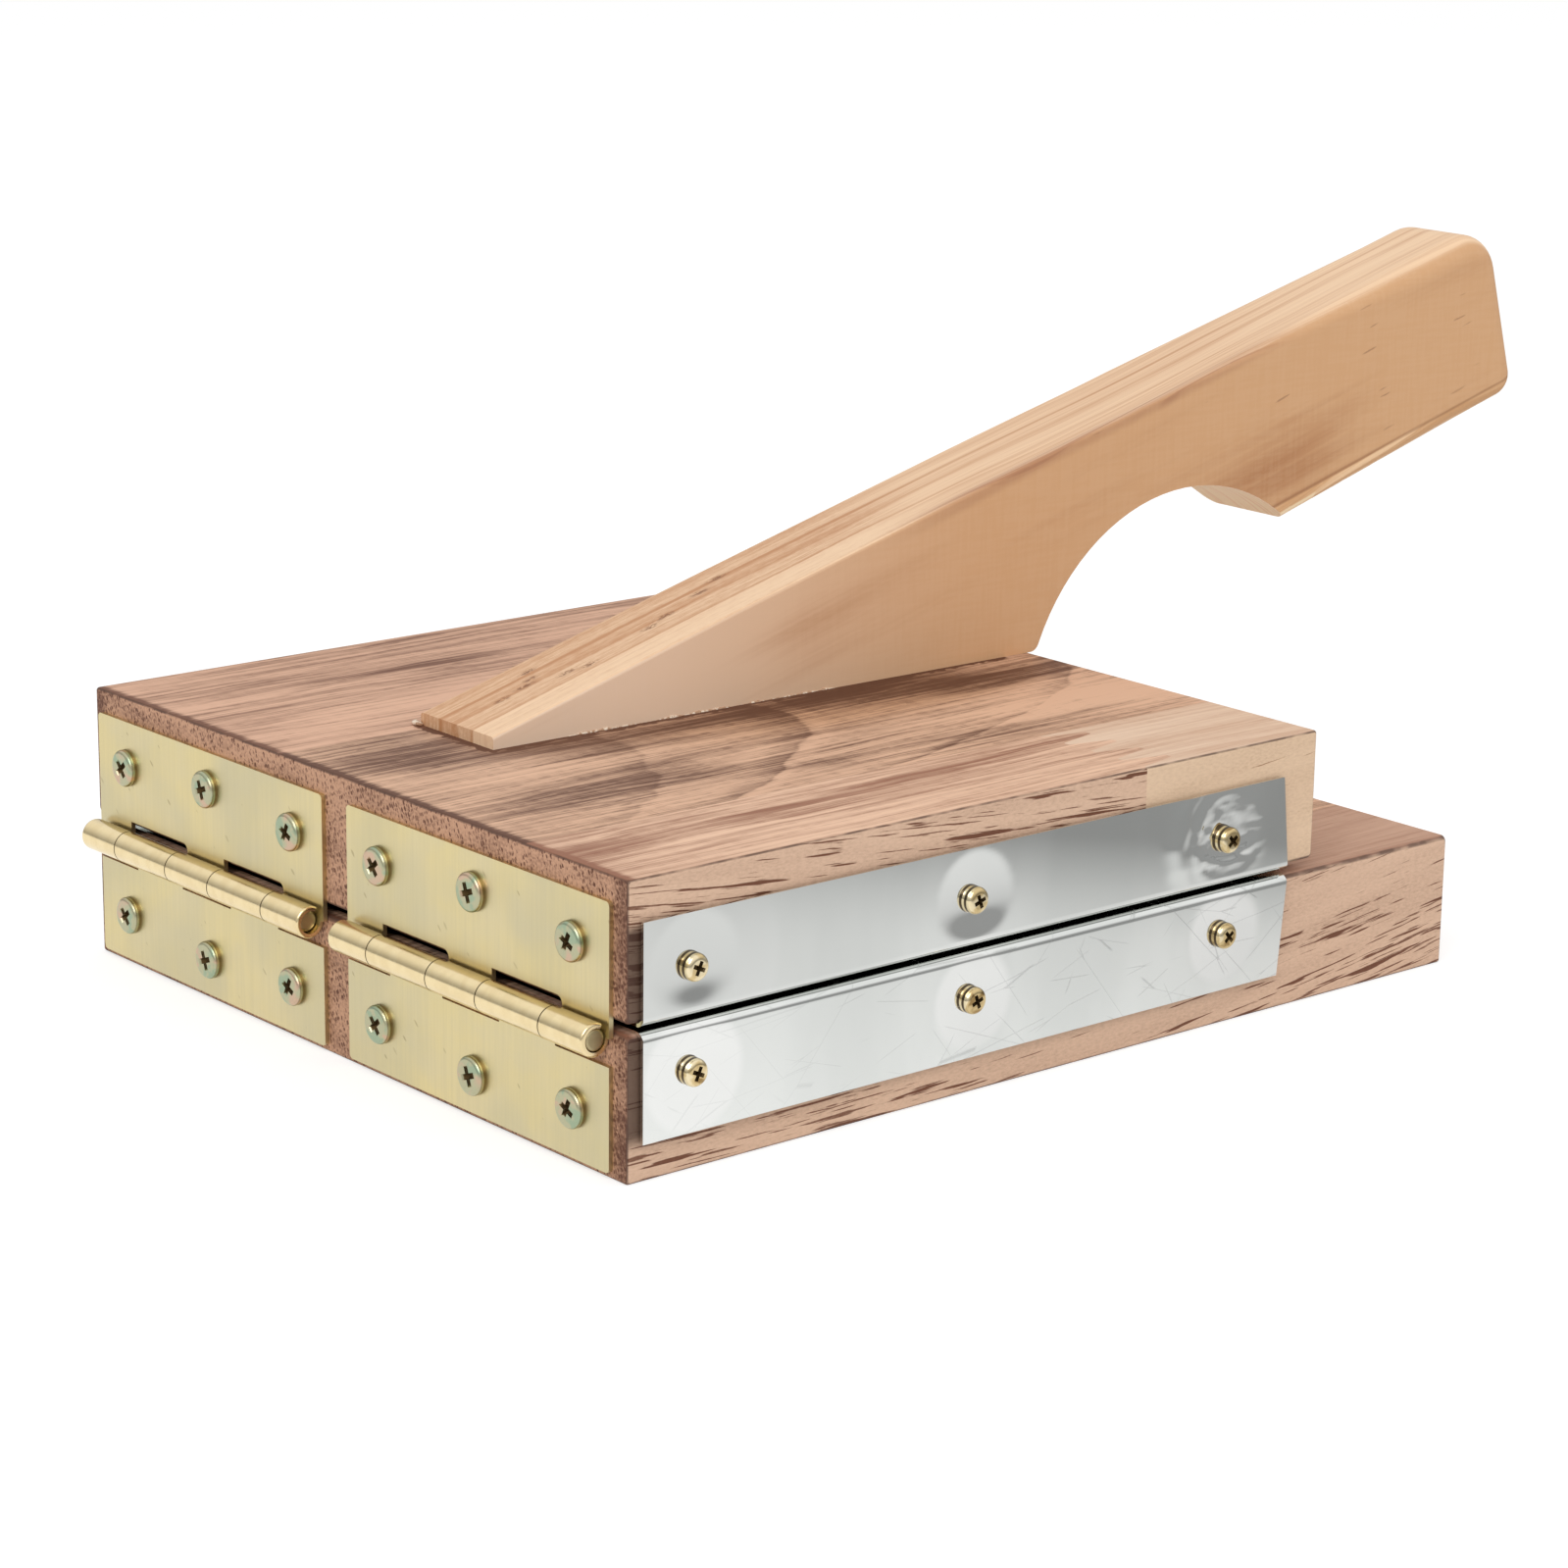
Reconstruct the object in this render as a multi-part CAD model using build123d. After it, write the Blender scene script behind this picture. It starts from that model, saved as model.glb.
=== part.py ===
from build123d import *
import os
from math import cos, radians, sin, tan

# A dumpling wrapper press: two wooden blocks faced with polished steel, joined at one end by two
# butt hinges, and pressed together by a long wooden lever handle.
# Millimetres. The origin is the centre of the lower board's underside, +X points from the hinges
# to the grip, +Y away from the side where the handle leans, and +Z is up.

# Boards
board_width = 130.0
lower_length = 158.0
upper_length = 128.0
lower_thickness = 20.2
upper_thickness = 19.6
board_gap = 1.6                # between the two pressing faces of wood
crisp_round = 0.5              # outer edges of the boards
press_round = 1.0              # edges that face the gap
near_stave_width = 22.0
far_stave_width = 50.0
finger_joint_x = 93.0          # from the hinge end to the roots of the fingers
finger_length = 7.0
finger_count = 4
finger_flank = (0.1, 0.4)      # shares of the fingers' pitch where a flank starts and ends

# Polished steel plates, bent over the long edges of the boards
sheet = 0.5
plate_start = 1.9              # from the hinge end
plate_end = 121.8
lower_flange = 15.2            # from the plate's face to the flange's edge
upper_flange = 14.4
flange_slant = 1.4             # by which the flange's free corner is cut back
plate_screw_x = (10.3, 59.6, 109.0)
plate_screw_drop = 6.9         # from the plate's face

# Hinges
leaf_length = 59.6
near_hinge_y = -32.3
far_hinge_y = 33.4
hinge_axis_z = 19.5
leaf_sheet = 0.7
leaf_height = 18.5             # from the axis to a leaf's edge
barrel_radius = 2.35
pin_radius = 1.6
running_gap = 0.05             # between the pin and the upper leaf's knuckles
knuckle_lengths = (9.45, 14.0, 11.4, 14.0, 9.45)
knuckle_gap = 0.2
upper_notch = 3.3              # from the axis to the edge of the leaf at the other leaf's knuckles
lower_notch = 3.9
notch_reach = 1.4              # by which a notch passes the other leaf's knuckle, towards +Y
notch_round = 1.2              # the one rounded corner of each of the upper leaf's notches
roll_opening = 62.0            # degrees between the leaf and the end of its rolled edge
pin_length = 57.4
pin_shift = 0.4                # by which the near pin sits towards -Y and the far pin towards +Y
hinge_screw_places = ((-22.0, 7.05), (0.0, 5.55), (22.0, 7.05))    # along the axis, in from the edge

# Screws: head diameter, head height, shank diameter, length from the head's seat, countersunk
hinge_screw = (5.6, 1.1, 2.9, 14.0, False)
plate_screw = (3.9, 1.5, 2.4, 8.0, False)
handle_screw = (7.0, 2.6, 4.0, 30.0, True)
handle_screw_u = (45.0, 68.0, 91.0)    # along the handle from its tip
screw_turns = (65.0, 20.0, 40.0)       # degrees by which the three screws of a group end up turned
head_round = 0.55              # share of a raised head's height
point_radius = 0.15
recess_mouth = (0.52, 0.15)    # the cross recess, length and width as shares of the head's diameter
recess_root = (0.26, 0.10)
recess_depth = 0.8             # share of the head's height

# Handle, drawn in u along it from the tip and w up from the upper board
handle_width = 18.2
handle_tip_x = 25.5            # from the hinge end
handle_tip_y = 7.7             # the handle's middle at its tip, off the press's middle
handle_yaw = -1.06             # degrees by which the handle is glued on askew
tip_thickness = 1.85
top_line = ((0.0, 1.85), (40.0, 13.2), (75.0, 22.9), (112.0, 33.0))
tip_slope = 0.28
wedge_round = 0.5              # top edges of the wedge
grip_top = (134.0, 38.9)       # where the wedge's section turns into the grip's
grip_slope = 16.0              # degrees
grip_length = 75.4             # from the grip's start to its end face
grip_depth = 30.2
heel_round = 1.9               # lower edges of the grip where it starts
grip_round = 3.5               # all its edges near the end
end_block = 16.0               # length over which they keep that radius
end_top_round = 7.5            # the end's corners, seen from the side
end_low_round = 4.0
arch_centre = (137.0, -12.5)
arch_radius = 35.1
foot_round = 1.8

hinge_end = -lower_length / 2
upper_base_z = lower_thickness + board_gap
top_z = upper_base_z + upper_thickness
barrel_length = sum(knuckle_lengths)
hinge_axis_x = hinge_end - barrel_radius


def slab(x, y, z):
    """A block between two corners, each given as a (low, high) pair."""
    size = [high - low for low, high in (x, y, z)]
    centre = [(high + low) / 2 for low, high in (x, y, z)]
    return Pos(*centre) * Box(*size)


def screw_blank(head_d, head_h, shank_d, length, countersunk):
    """A wood screw along Z without its recess, its head on z = 0 or countersunk under it."""
    head_r, shank_r = head_d / 2, shank_d / 2
    if countersunk:
        head = Pos(0, 0, -head_h / 2) * Cone(shank_r, head_r, head_h)
    else:
        head = Pos(0, 0, head_h / 2) * Cylinder(head_r, head_h)
        head = fillet(head.edges().group_by(Axis.Z)[-1], head_h * head_round)
    taper = shank_d
    shank = Pos(0, 0, (taper - length) / 2) * Cylinder(shank_r, length - taper)
    point = Pos(0, 0, taper / 2 - length) * Cone(point_radius, shank_r, taper)
    return head + shank + point


def cross(head_d, shares):
    """The outline of a cross recess."""
    arm, width = head_d * shares[0], head_d * shares[1]
    return Rectangle(arm, width) + Rectangle(width, arm)


def screw(head_d, head_h, shank_d, length, countersunk):
    """A wood screw along Z with its cross recess."""
    top = 0 if countersunk else head_h
    mouth = Pos(0, 0, top) * cross(head_d, recess_mouth)
    root = Pos(0, 0, top - head_h * recess_depth) * cross(head_d, recess_root)
    return screw_blank(head_d, head_h, shank_d, length, countersunk) - loft([mouth, root])


def finger_comb():
    """The finger-jointed end length of the near stave, as a cutting block taller than the boards."""
    low, high = -board_width / 2, near_stave_width - board_width / 2
    root, tip = hinge_end + finger_joint_x, hinge_end + finger_joint_x + finger_length
    outline = [(root + board_width, high), (root + board_width, 2 * low), (root, 2 * low), (root, low)]
    pitch = near_stave_width / finger_count
    for finger in range(finger_count):
        near, far = low + finger * pitch, low + (finger + 1) * pitch
        foot, crest = (share * pitch for share in finger_flank)
        outline += [(root, near + foot), (tip, near + crest), (tip, far - crest), (root, far - foot)]
    outline.append((root, high))
    return extrude(make_face(Polyline(*outline, close=True)), 2 * top_z)


def board(length, low, high, press_z):
    """One board as a single block, its edges eased, those towards the gap rounder."""
    block = slab((hinge_end, hinge_end + length), (-board_width / 2, board_width / 2), (low, high))
    press_level, outer_level = (-1, 0) if press_z == high else (0, -1)
    on_press = block.edges().group_by(Axis.Z)[press_level].sort_by(Axis.X)
    block = fillet(on_press[:-1], press_round)
    outer = block.edges().group_by(Axis.Z)[outer_level]
    upright = block.edges().filter_by(Axis.Z)
    return fillet(outer + upright, crisp_round)


def plate(press_z, flange, inward):
    """A steel channel over a pressing face; inward is -1 where the flanges hang down, +1 where they stand."""
    face_z = press_z - inward * sheet
    edge_z = face_z + inward * flange
    half = board_width / 2
    span = (hinge_end + plate_start, hinge_end + plate_end)
    outer = slab(span, (-half - sheet, half + sheet), sorted((face_z, edge_z)))
    inner = slab(span, (-half, half), sorted((press_z, edge_z + inward)))
    face_level = -1 if inward < 0 else 0
    outer = fillet(outer.edges().filter_by(Axis.X).group_by(Axis.Z)[face_level], press_round + sheet)
    inner = fillet(inner.edges().filter_by(Axis.X).group_by(Axis.Z)[face_level], press_round)
    bend_z = face_z + inward * (press_round + sheet)
    corner = make_face(Polyline((span[1], bend_z), (span[1] + 1, bend_z), (span[1] + 1, edge_z),
                                (span[1] - flange_slant, edge_z), close=True))
    cut_back = extrude(Plane.XZ * corner, board_width, both=True)
    return outer - inner - cut_back


def flange_places(face_z, inward, side):
    """Where the three screws go through one flange; side is -1 on the near side, +1 on the far side."""
    y = side * (board_width / 2 + sheet)
    z = face_z + inward * plate_screw_drop
    return [Pos(hinge_end + x, y, z) * Rot(X=-90 * side) for x in plate_screw_x]


def leaf_places(centre_y, standing):
    """Where the three screws go through one hinge leaf; standing is +1 on an upper leaf, else -1."""
    return [Pos(hinge_end - leaf_sheet, centre_y + along, hinge_axis_z + standing * (leaf_height - inset))
            * Rot(Y=-90) for along, inset in hinge_screw_places]


def knuckle_spans(indices):
    """The (low, high) y of the given knuckles, with half of each gap taken off both ends."""
    starts = [sum(knuckle_lengths[:i]) - barrel_length / 2 for i in indices]
    return [(start + knuckle_gap / 2, start + knuckle_lengths[i] - knuckle_gap / 2)
            for start, i in zip(starts, indices)]


def tab_span(index):
    """The (low, high) y of the tab between a leaf and one of its knuckles."""
    low, high = knuckle_spans((index,))[0]
    half, last = leaf_length / 2, len(knuckle_lengths) - 1
    return (-half if index == 0 else low + notch_reach, half if index == last else high)


def knuckle(span, bore):
    """One rolled knuckle about the Y axis, open beside a leaf that stands up from it."""
    middle, length = sum(span) / 2, span[1] - span[0]
    turn = Pos(0, middle, 0) * Rot(X=90)
    roll = turn * Cylinder(barrel_radius, length)
    circles = roll.edges().filter_by(GeomType.CIRCLE)
    outer_ends = circles.filter_by(lambda edge: abs(edge.center().Y) > barrel_length / 2 - knuckle_gap)
    if outer_ends:
        roll = fillet(outer_ends, leaf_sheet / 2)
    side = 2 * barrel_radius
    wedge = make_face(Polyline((0, 0), (side, 0), (side, side * tan(radians(roll_opening))), close=True))
    opening = Pos(0, middle, 0) * extrude(Plane.XZ * wedge, length, both=True)
    return roll - opening - turn * Cylinder(bore, length + 1)


def leaf(own, notch, bore):
    """A hinge leaf about the Y axis, standing up from it, with the knuckles of its own indices."""
    half = leaf_length / 2
    thick = (barrel_radius - leaf_sheet, barrel_radius)
    body = slab(thick, (-half, half), (notch, leaf_height))
    body = fillet(body.edges().filter_by(Axis.X).group_by(Axis.Z)[-1], leaf_sheet)
    for index, span in zip(own, knuckle_spans(own)):
        body += slab(thick, tab_span(index), (0, notch + leaf_sheet)) + knuckle(span, bore)
    for along, inset in hinge_screw_places:
        hole = Cylinder(hinge_screw[2] / 2, 4 * leaf_sheet)
        body -= Pos(barrel_radius, along, leaf_height - inset) * Rot(Y=90) * hole
    return body


def upper_leaf():
    """The leaf with the outer and middle knuckles; one corner of each of its notches is rounded."""
    own = (0, 2, 4)
    body = leaf(own, upper_notch, pin_radius + running_gap)
    for _, high in knuckle_spans(own)[:-1]:
        corner = body.edges().filter_by(Axis.X).sort_by_distance((barrel_radius, high, upper_notch))[0]
        body = fillet(corner, notch_round)
    return body


def lower_leaf():
    """The leaf that holds the pin in its two knuckles, hanging down from the axis."""
    return mirror(leaf((1, 3), lower_notch, pin_radius), Plane.XY)


def section(round_up, round_low):
    """The grip's cross-section, its top edge on the sketch's X axis, hanging towards -Y."""
    half, low = handle_width / 2, -grip_depth
    outline = [
        Line((round_up - half, 0), (half - round_up, 0)),
        CenterArc((half - round_up, -round_up), round_up, 90, -90),
        Line((half, -round_up), (half, low + round_low)),
        CenterArc((half - round_low, low + round_low), round_low, 0, -90),
        Line((half - round_low, low), (round_low - half, low)),
        CenterArc((round_low - half, low + round_low), round_low, -90, -90),
        Line((-half, low + round_low), (-half, -round_up)),
        CenterArc((round_up - half, -round_up), round_up, 180, -90),
    ]
    return make_face(outline)


def grip():
    """The rounded grip, from its start below grip_top to the end of the handle."""
    slope = radians(grip_slope)
    along = Vector(cos(slope), 0, sin(slope))
    start = Plane(origin=(grip_top[0], 0, grip_top[1]), x_dir=(0, 1, 0), z_dir=along)
    neck = grip_length - end_block
    joint = start.offset(neck)
    body = loft([start * section(wedge_round, heel_round), joint * section(grip_round, grip_round)])

    top_r, low_r = end_top_round, end_low_round
    outline = [
        Line((0, -grip_depth), (0, 0)),
        Line((0, 0), (end_block - top_r, 0)),
        CenterArc((end_block - top_r, -top_r), top_r, 90, -90),
        Line((end_block, -top_r), (end_block, low_r - grip_depth)),
        CenterArc((end_block - low_r, low_r - grip_depth), low_r, 0, -90),
        Line((end_block - low_r, -grip_depth), (0, -grip_depth)),
    ]
    end = extrude(Plane.XZ * make_face(outline), handle_width / 2, both=True)
    rim = end.edges().filter_by(Axis.Y, reverse=True)
    rim = rim.filter_by(lambda edge: edge.center().X > 0 and abs(edge.center().Y) > handle_width / 4)
    end = fillet(rim, grip_round)
    return body + Pos(*joint.origin) * Rot(Y=-grip_slope) * end


def handle():
    """The lever handle: a wedge that turns into the grip over the hand arch."""
    rise = tan(radians(grip_slope))
    cut_u = grip_top[0] + grip_top[1] * rise
    top = Spline(*top_line, grip_top, tangents=[(1, tip_slope), (1, rise)])
    outline = [Line((0, 0), (cut_u, 0)), Line((cut_u, 0), grip_top), top, Line((0, tip_thickness), (0, 0))]
    wedge = extrude(Plane.XZ * make_face(outline), handle_width / 2, both=True)
    wedge = fillet(wedge.edges().filter_by(GeomType.BSPLINE), wedge_round)
    arch = Pos(arch_centre[0], 0, arch_centre[1]) * Rot(X=90) * Cylinder(arch_radius, 2 * handle_width)
    body = wedge + grip() - arch
    foot = body.edges().filter_by(Axis.Y).group_by(Axis.Z)[0].sort_by(Axis.X)[-1]
    return fillet(foot, foot_round)


def staves(block, name):
    """One board sawn into its three staves, by name."""
    half = board_width / 2
    glue_near, glue_far = near_stave_width - half, half - far_stave_width
    strips = {"near": (-half - 1, glue_near), "middle": (glue_near, glue_far), "far": (glue_far, half + 1)}
    along = (hinge_end - 1, hinge_end + lower_length + 1)
    return {f"{name}_{side}_stave": block & slab(along, strip, (-1, top_z + 1))
            for side, strip in strips.items()}


def build():
    """Every piece of the press, by name."""
    at_handle = Pos(hinge_end + handle_tip_x, handle_tip_y, top_z) * Rot(Z=handle_yaw)
    lower_face, upper_face = lower_thickness + sheet, upper_base_z - sheet
    screws = {
        "lower_plate_screws_near": (plate_screw, flange_places(lower_face, -1, -1)),
        "lower_plate_screws_far": (plate_screw, flange_places(lower_face, -1, 1)),
        "upper_plate_screws_near": (plate_screw, flange_places(upper_face, 1, -1)),
        "upper_plate_screws_far": (plate_screw, flange_places(upper_face, 1, 1)),
        "near_hinge_lower_screws": (hinge_screw, leaf_places(near_hinge_y, -1)),
        "near_hinge_upper_screws": (hinge_screw, leaf_places(near_hinge_y, 1)),
        "far_hinge_lower_screws": (hinge_screw, leaf_places(far_hinge_y, -1)),
        "far_hinge_upper_screws": (hinge_screw, leaf_places(far_hinge_y, 1)),
        "handle_screws": (handle_screw, [at_handle * Pos(u, 0, -upper_thickness) * Rot(X=180)
                                         for u in handle_screw_u]),
    }
    pieces = {name: [place * Rot(Z=turn) * screw(*size) for place, turn in zip(places, screw_turns)]
              for name, (size, places) in screws.items()}
    bores = {name: [place * screw_blank(*size) for place in places]
             for name, (size, places) in screws.items()}
    lower_bores = [bore for name, group in bores.items() if "lower" in name for bore in group]
    upper_bores = [bore for name, group in bores.items() if "lower" not in name for bore in group]

    lower = board(lower_length, 0, lower_thickness, lower_thickness) - lower_bores
    upper = board(upper_length, upper_base_z, top_z, upper_base_z) - upper_bores
    pieces.update(staves(lower, "lower_board"))
    pieces.update(staves(upper, "upper_board"))
    comb = finger_comb()
    pieces["upper_board_near_stave_end"] = pieces["upper_board_near_stave"] & comb
    pieces["upper_board_near_stave"] = pieces["upper_board_near_stave"] - comb

    pieces["lower_plate"] = plate(lower_thickness, lower_flange, -1) - lower_bores
    pieces["upper_plate"] = plate(upper_base_z, upper_flange, 1) - upper_bores
    pieces["handle"] = at_handle * handle() - bores["handle_screws"]

    for side, centre_y, shift in (("near", near_hinge_y, -pin_shift), ("far", far_hinge_y, pin_shift)):
        place = Pos(hinge_axis_x, centre_y, hinge_axis_z)
        pieces[side + "_hinge_upper_leaf"] = place * upper_leaf()
        pieces[side + "_hinge_lower_leaf"] = place * lower_leaf()
        pin = Pos(0, shift, 0) * Rot(X=90) * Cylinder(pin_radius, pin_length)
        pieces[side + "_hinge_pin"] = place * fillet(pin.edges().filter_by(GeomType.CIRCLE), pin_radius / 3)
    return pieces


os.makedirs("parts", exist_ok=True)
for node, piece in build().items():
    shapes = piece if isinstance(piece, list) else [piece]
    solids = [solid for shape in shapes for solid in shape.solids()]
    export_step(Compound(children=solids), f"parts/{node}.step")
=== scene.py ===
from math import cos, exp, hypot, pi, radians, sin

import bpy
from bpy.props import FloatProperty, FloatVectorProperty, IntProperty, PointerProperty
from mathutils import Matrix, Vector, noise


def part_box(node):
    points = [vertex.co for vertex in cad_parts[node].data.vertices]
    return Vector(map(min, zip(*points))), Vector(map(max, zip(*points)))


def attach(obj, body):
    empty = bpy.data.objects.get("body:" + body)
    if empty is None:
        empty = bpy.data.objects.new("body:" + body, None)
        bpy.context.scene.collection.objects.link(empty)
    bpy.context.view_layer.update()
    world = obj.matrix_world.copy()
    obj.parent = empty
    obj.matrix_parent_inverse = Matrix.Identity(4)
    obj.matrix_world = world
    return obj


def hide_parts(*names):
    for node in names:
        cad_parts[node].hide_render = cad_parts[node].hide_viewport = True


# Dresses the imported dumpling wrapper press: staves of striped brown wood, a honey-coloured handle,
# mirror-polished steel plates, pale brass hinges and plated screws, on a white stage.
# The scene is in metres. Patterns are written in millimetres.

bl_info = {
    "name": "Dumpling Wrapper Press",
    "version": (1, 0, 0),
    "blender": (4, 5, 0),
    "location": "3D View > Sidebar > Press",
    "description": "Dresses a dumpling wrapper press and sets it on a white stage",
    "category": "Add Mesh",
}

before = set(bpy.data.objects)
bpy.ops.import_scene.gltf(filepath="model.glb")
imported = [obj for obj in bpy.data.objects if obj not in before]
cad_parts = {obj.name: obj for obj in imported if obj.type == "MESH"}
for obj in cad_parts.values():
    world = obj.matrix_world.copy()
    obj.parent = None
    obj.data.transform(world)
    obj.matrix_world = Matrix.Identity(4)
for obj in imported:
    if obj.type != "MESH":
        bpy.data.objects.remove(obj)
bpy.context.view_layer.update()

MM = 0.001

hinge_end, near_side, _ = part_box("lower_board_near_stave")[0]
top_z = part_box("upper_board_near_stave")[1].z

# Places of the woods' figures, in millimetres, and the handle's angles

ring_middle_y = -8
hinge_end_x = hinge_end / MM
grain_slope = radians(16)
handle_yaw = radians(1.06)
handle_half = 9.1              # of its width
handle_tip = (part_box("handle")[0].x / MM, 7.7, top_z / MM + 1.85)
arch_end_x = 112.5
grip_under = -31.5             # the grip's underside, up from the tip, square to the grain
top_edge_drop = -1.2           # the top's near edge, the same way
handle_pits = ((52.8, 4.3, 3.2), (48, 2.5, 2.6), (39.6, 0.7, 3.4), (36, -0.4, 2.4),
               (16.8, 5, 2.2), (19.6, -1.2, 2.6), (13.4, 1, 3.0), (15.5, 2.4, 2.0),
               (8.9, 0.5, 2.2), (23, -2.2, 2.4))    # up the slope, across it, and half length


def srgb(red, green, blue):
    """A colour given as on a screen, from 0 to 255, in the linear values that Blender uses."""
    shares = [channel / 255 for channel in (red, green, blue)]
    return tuple(s / 12.92 if s < 0.04045 else ((s + 0.055) / 1.055) ** 2.4 for s in shares)


def colour(name, description, red, green, blue):
    """A colour property."""
    return FloatVectorProperty(name=name, description=description, subtype="COLOR", size=3,
                               min=0, max=1, default=srgb(red, green, blue))


def length(name, description, millimetres):
    """A length property, given in millimetres."""
    return FloatProperty(name=name, description=description, unit="LENGTH",
                         default=millimetres * MM)


class StageSettings(bpy.types.PropertyGroup):
    """The camera, the light and the floor."""
    camera_place: FloatVectorProperty(
        name="Camera place", description="Where the camera stands",
        subtype="TRANSLATION", unit="LENGTH", size=3, default=(-0.39559, -0.47070, 0.19336))
    camera_turn: FloatVectorProperty(
        name="Camera turn", description="How the camera is turned, as XYZ angles",
        subtype="EULER", size=3,
        default=(radians(74.8854), radians(-0.7085), radians(-39.9784)))
    lens: FloatProperty(
        name="Lens", description="Focal length in millimetres on a 36 mm wide sensor",
        default=96.585)
    floor_size: length("Floor size", "Side of the square floor", 6000)
    daylight: FloatProperty(
        name="Daylight", description="Strength of the even light from all round",
        default=0.72)
    key_power: FloatProperty(
        name="Key light", description="Power of the large lamp over the hinges' side",
        subtype="POWER", default=9.0)
    fill_power: FloatProperty(
        name="Fill light", description="Power of the lamp on the grip's side",
        subtype="POWER", default=3.0)


class WoodSettings(bpy.types.PropertyGroup):
    """The tones of the boards and the handle."""
    stripe_dark: colour("Near stave, dark", "Dark stripes of the near stave", 150, 102, 78)
    stripe_light: colour("Near stave, light", "Light ground of the near stave", 238, 198, 168)
    end_dark: colour("End length, dark", "Dark stripes of its end length", 194, 150, 120)
    end_light: colour("End length, light", "Light ground of its end length", 233, 204, 178)
    walnut_dark: colour("Middle stave, dark", "Dark rings of the middle stave", 100, 64, 46)
    walnut_light: colour("Middle stave, light", "Light ground of the middle stave", 226, 183, 152)
    streak_dark: colour("Far stave, dark", "Dark streaks of the far stave", 116, 76, 56)
    streak_light: colour("Far stave, light", "Light ground of the far stave", 226, 181, 152)
    lower_light: colour("Lower board, light", "Light ground of its near stave", 206, 168, 144)
    handle_dark: colour("Handle, dark", "Brown areas of the handle's sides", 176, 120, 78)
    handle_seam: colour("Handle, seams", "Darker stripes on top of the handle", 194, 138, 94)
    handle_light: colour("Handle, light", "Pale stripes on top of the handle", 244, 209, 172)


class PlateSettings(bpy.types.PropertyGroup):
    """The polished steel plates."""
    steel: colour("Steel", "What the polished steel reflects", 229, 231, 228)
    lift: length("Lift", "How far the flanges stand off the wood between the screws", 0.45)
    columns: IntProperty(name="Columns", description="Faces along each plate", default=200)
    crumple: length("Crumple", "Height of the wrinkles round one screw", 0.9)


class MetalSettings(bpy.types.PropertyGroup):
    """The hinges and the screws."""
    leaf: colour("Hinge leaf", "Satin pale brass of the leaves", 219, 205, 162)
    barrel: colour("Hinge barrel", "Warmer brass of the rolled knuckles", 240, 220, 174)
    zinc: colour("Hinge screws", "Yellow zinc of the pan-head screws", 184, 182, 150)
    brass: colour("Plate screws", "Brass of the small screws", 216, 192, 142)
    # The recess colour darkens the screws' cross recesses
    recess: colour("Recess", "Grime in the screws' recesses", 104, 84, 54)


def feed(tree, socket, value):
    """Links a socket to another one, or gives it a plain value."""
    if isinstance(value, bpy.types.NodeSocket):
        tree.links.new(value, socket)
    elif value is not None:
        wide = socket.type == "RGBA" and len(value) == 3
        socket.default_value = (*value, 1) if wide else value


def add_node(tree, kind, *values, **settings):
    """A shader node with these settings, and with these values fed to its first inputs."""
    node = tree.nodes.new("ShaderNode" + kind)
    for name, value in settings.items():
        setattr(node, name, value)
    for socket, value in zip(node.inputs, values):
        feed(tree, socket, value)
    return node


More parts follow.
